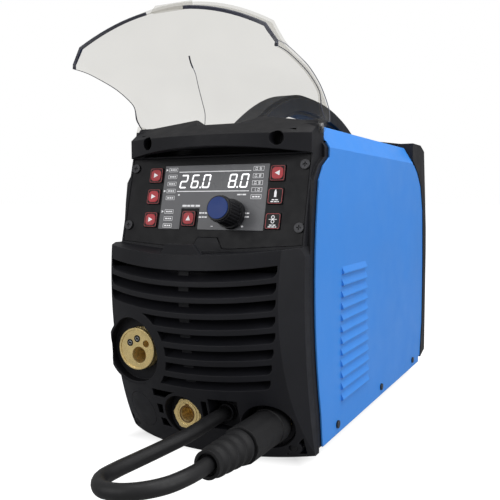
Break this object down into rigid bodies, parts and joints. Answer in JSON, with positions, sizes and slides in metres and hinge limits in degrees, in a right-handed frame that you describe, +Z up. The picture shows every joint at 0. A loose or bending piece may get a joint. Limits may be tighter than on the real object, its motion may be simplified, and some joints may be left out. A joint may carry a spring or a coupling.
{
  "type": "mig welding machine",
  "caption": "Portable inverter welder with a flip-up panel visor, arched carry handle, hinged side door over the wire feed, brass front sockets and a short polarity lead.",
  "frame": {"origin": "on the floor under the middle of the body", "axes": "+Z up, front with the controls and sockets faces -Y, +X to the right as seen from the front"},
  "size_m": [0.205, 0.6287, 0.3944],
  "materials": {
    "blue_paint": "fine-textured powder coat",
    "black_plastic": "moulded, fine grain",
    "soft_grip": "soft moulded",
    "rubber": "matt",
    "cable_rubber": "matt neoprene sheath",
    "panel_black": "satin film",
    "window_grey": "smoked, smooth",
    "knob_black": "satin",
    "knob_blue": "satin",
    "button_red": "satin",
    "button_black": "satin",
    "clear_plastic": "clear moulded polycarbonate",
    "brass": "turned",
    "steel": "zinc plated",
    "dark_sheet": "black powder coat",
    "cast_metal": "die cast, painted",
    "bare_aluminium": "extruded",
    "circuit_board": "solder mask",
    "winding_lacquer": "varnished winding",
    "welding_wire": "copper-flashed wire"
  },
  "bodies": {
    "housing": {"base_pan": "blue_paint", "feet": "rubber", "divider": "dark_sheet", "front_bezel": "black_plastic", "rear_bezel": "black_plastic", "cover": "blue_paint", "visor_pins": "steel", "handle": "black_plastic", "handle_grip": "soft_grip", "panel_plate": "panel_black", "panel_screws": "steel", "display_window": "window_grey", "control_board": "circuit_board", "encoder": "steel", "euro_flange": "black_plastic", "euro_body": "brass", "euro_contacts": "brass", "blank_cap": "black_plastic", "output_sockets": "brass", "socket_sleeves": "black_plastic", "cable_gland": "black_plastic", "polarity_cable": "cable_rubber", "plug_pin": "brass", "plug_body": "soft_grip", "plug_boot": "soft_grip", "bezel_screws": "steel", "cover_screws": "steel", "spool_axle": "black_plastic", "spool_nut": "black_plastic", "feeder_frame": "cast_metal", "feeder_motor": "steel", "power_board": "circuit_board", "heat_sink": "bare_aluminium", "transformer": "winding_lacquer", "fan_frame": "black_plastic", "gas_valve": "steel", "gas_inlet": "brass", "power_switch": "black_plastic", "mains_gland": "black_plastic"},
    "visor": {"visor": "clear_plastic"},
    "knob": {"encoder_shaft": "steel", "knob": "knob_black", "knob_cap": "knob_blue"},
    "mode_button": {"mode_button": "button_red"},
    "trigger_button": {"trigger_button": "button_red"},
    "process_button": {"process_button": "button_red"},
    "setup_button": {"setup_button": "button_red"},
    "wire_button": {"wire_button": "button_red"},
    "gas_test_button": {"gas_test_button": "button_black"},
    "wire_inch_button": {"wire_inch_button": "button_black"},
    "side_door": {"side_door": "blue_paint"},
    "door_latch": {"door_latch": "black_plastic"},
    "spool": {"wire_spool": "black_plastic", "wire_winding": "welding_wire"},
    "drive_roll": {"drive_roll": "steel"},
    "pressure_arm": {"pressure_arm": "black_plastic"},
    "pressure_roll": {"pressure_roll": "steel"},
    "tension_knob": {"tension_knob": "button_red"},
    "fan": {"fan_rotor": "black_plastic"},
    "switch_rocker": {"switch_rocker": "button_black"}
  },
  "joints": [
    {"name": "visor_hinge", "type": "hinge", "parent": "housing", "child": "visor", "pos_m": [0, -0.1565, 0.297], "axis": [1, 0, 0], "range_deg": [0, 92]},
    {"name": "knob_turn", "type": "hinge", "parent": "housing", "child": "knob", "pos_m": [0.0232, -0.18596, 0.21903], "axis": [0, -0.9703, 0.2419], "continuous": true},
    {"name": "mode_button_press", "type": "slide", "parent": "housing", "child": "mode_button", "axis": [0, 0.9703, -0.2419], "range_m": [0, 0.001], "stiffness_N_per_m": 400, "springref_m": -0.001},
    {"name": "trigger_button_press", "type": "slide", "parent": "housing", "child": "trigger_button", "axis": [0, 0.9703, -0.2419], "range_m": [0, 0.001], "stiffness_N_per_m": 400, "springref_m": -0.001},
    {"name": "process_button_press", "type": "slide", "parent": "housing", "child": "process_button", "axis": [0, 0.9703, -0.2419], "range_m": [0, 0.001], "stiffness_N_per_m": 400, "springref_m": -0.001},
    {"name": "setup_button_press", "type": "slide", "parent": "housing", "child": "setup_button", "axis": [0, 0.9703, -0.2419], "range_m": [0, 0.001], "stiffness_N_per_m": 400, "springref_m": -0.001},
    {"name": "wire_button_press", "type": "slide", "parent": "housing", "child": "wire_button", "axis": [0, 0.9703, -0.2419], "range_m": [0, 0.001], "stiffness_N_per_m": 400, "springref_m": -0.001},
    {"name": "gas_test_button_press", "type": "slide", "parent": "housing", "child": "gas_test_button", "axis": [0, 0.9703, -0.2419], "range_m": [0, 0.001], "stiffness_N_per_m": 400, "springref_m": -0.001},
    {"name": "wire_inch_button_press", "type": "slide", "parent": "housing", "child": "wire_inch_button", "axis": [0, 0.9703, -0.2419], "range_m": [0, 0.001], "stiffness_N_per_m": 400, "springref_m": -0.001},
    {"name": "door_hinge", "type": "hinge", "parent": "housing", "child": "side_door", "pos_m": [-0.097, 0, 0.024], "axis": [0, -1, 0], "range_deg": [0, 90]},
    {"name": "latch_turn", "type": "hinge", "parent": "side_door", "child": "door_latch", "pos_m": [-0.1, 0.02, 0.245], "axis": [1, 0, 0], "range_deg": [0, 90]},
    {"name": "spool_spin", "type": "hinge", "parent": "housing", "child": "spool", "pos_m": [-0.0595, 0.096, 0.152], "axis": [1, 0, 0], "continuous": true},
    {"name": "drive_roll_spin", "type": "hinge", "parent": "housing", "child": "drive_roll", "pos_m": [-0.0545, -0.097, 0.0761], "axis": [1, 0, 0], "continuous": true},
    {"name": "pressure_arm_lift", "type": "hinge", "parent": "housing", "child": "pressure_arm", "pos_m": [-0.0545, -0.133, 0.124], "axis": [1, 0, 0], "range_deg": [0, 50]},
    {"name": "pressure_roll_spin", "type": "hinge", "parent": "pressure_arm", "child": "pressure_roll", "pos_m": [-0.0545, -0.097, 0.1029], "axis": [1, 0, 0], "continuous": true},
    {"name": "tension_knob_turn", "type": "hinge", "parent": "pressure_arm", "child": "tension_knob", "pos_m": [-0.0545, -0.052, 0.14], "axis": [0, 0, 1], "continuous": true},
    {"name": "fan_spin", "type": "hinge", "parent": "housing", "child": "fan", "pos_m": [0.038, 0.227, 0.15], "axis": [0, 1, 0], "continuous": true},
    {"name": "rocker_tilt", "type": "hinge", "parent": "housing", "child": "switch_rocker", "pos_m": [-0.045, 0.2428, 0.19], "axis": [1, 0, 0], "range_deg": [0, 20]}
  ],
  "couplings": [
    {"joint": "pressure_roll_spin", "follows": "drive_roll_spin", "ratio": -1.3636}
  ]
}
